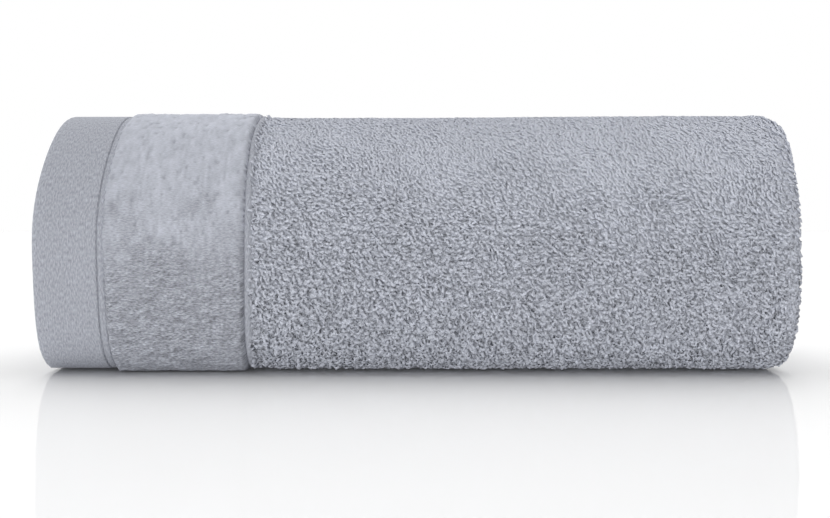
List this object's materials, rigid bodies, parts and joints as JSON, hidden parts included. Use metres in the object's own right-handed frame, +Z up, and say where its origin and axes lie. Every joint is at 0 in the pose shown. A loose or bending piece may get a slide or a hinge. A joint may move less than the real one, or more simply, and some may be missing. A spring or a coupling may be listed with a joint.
{
  "type": "rolled hand towel",
  "caption": "Terry hand towel folded in four layers and rolled up, with hems at one end and folds at the other, resting on a flat underside.",
  "frame": {"origin": "centre of the roll's box, on the surface that it rests on", "axes": "+X along the roll from the hems to the folded end, -Y the front that the picture shows, +Z up"},
  "size_m": [0.2526, 0.0922, 0.0892],
  "materials": {
    "towel_cloth": "looped cotton terry with a sheared band and a flat woven hem"
  },
  "bodies": {
    "root": {"rolled_towel": "towel_cloth"}
  },
  "joints": []
}
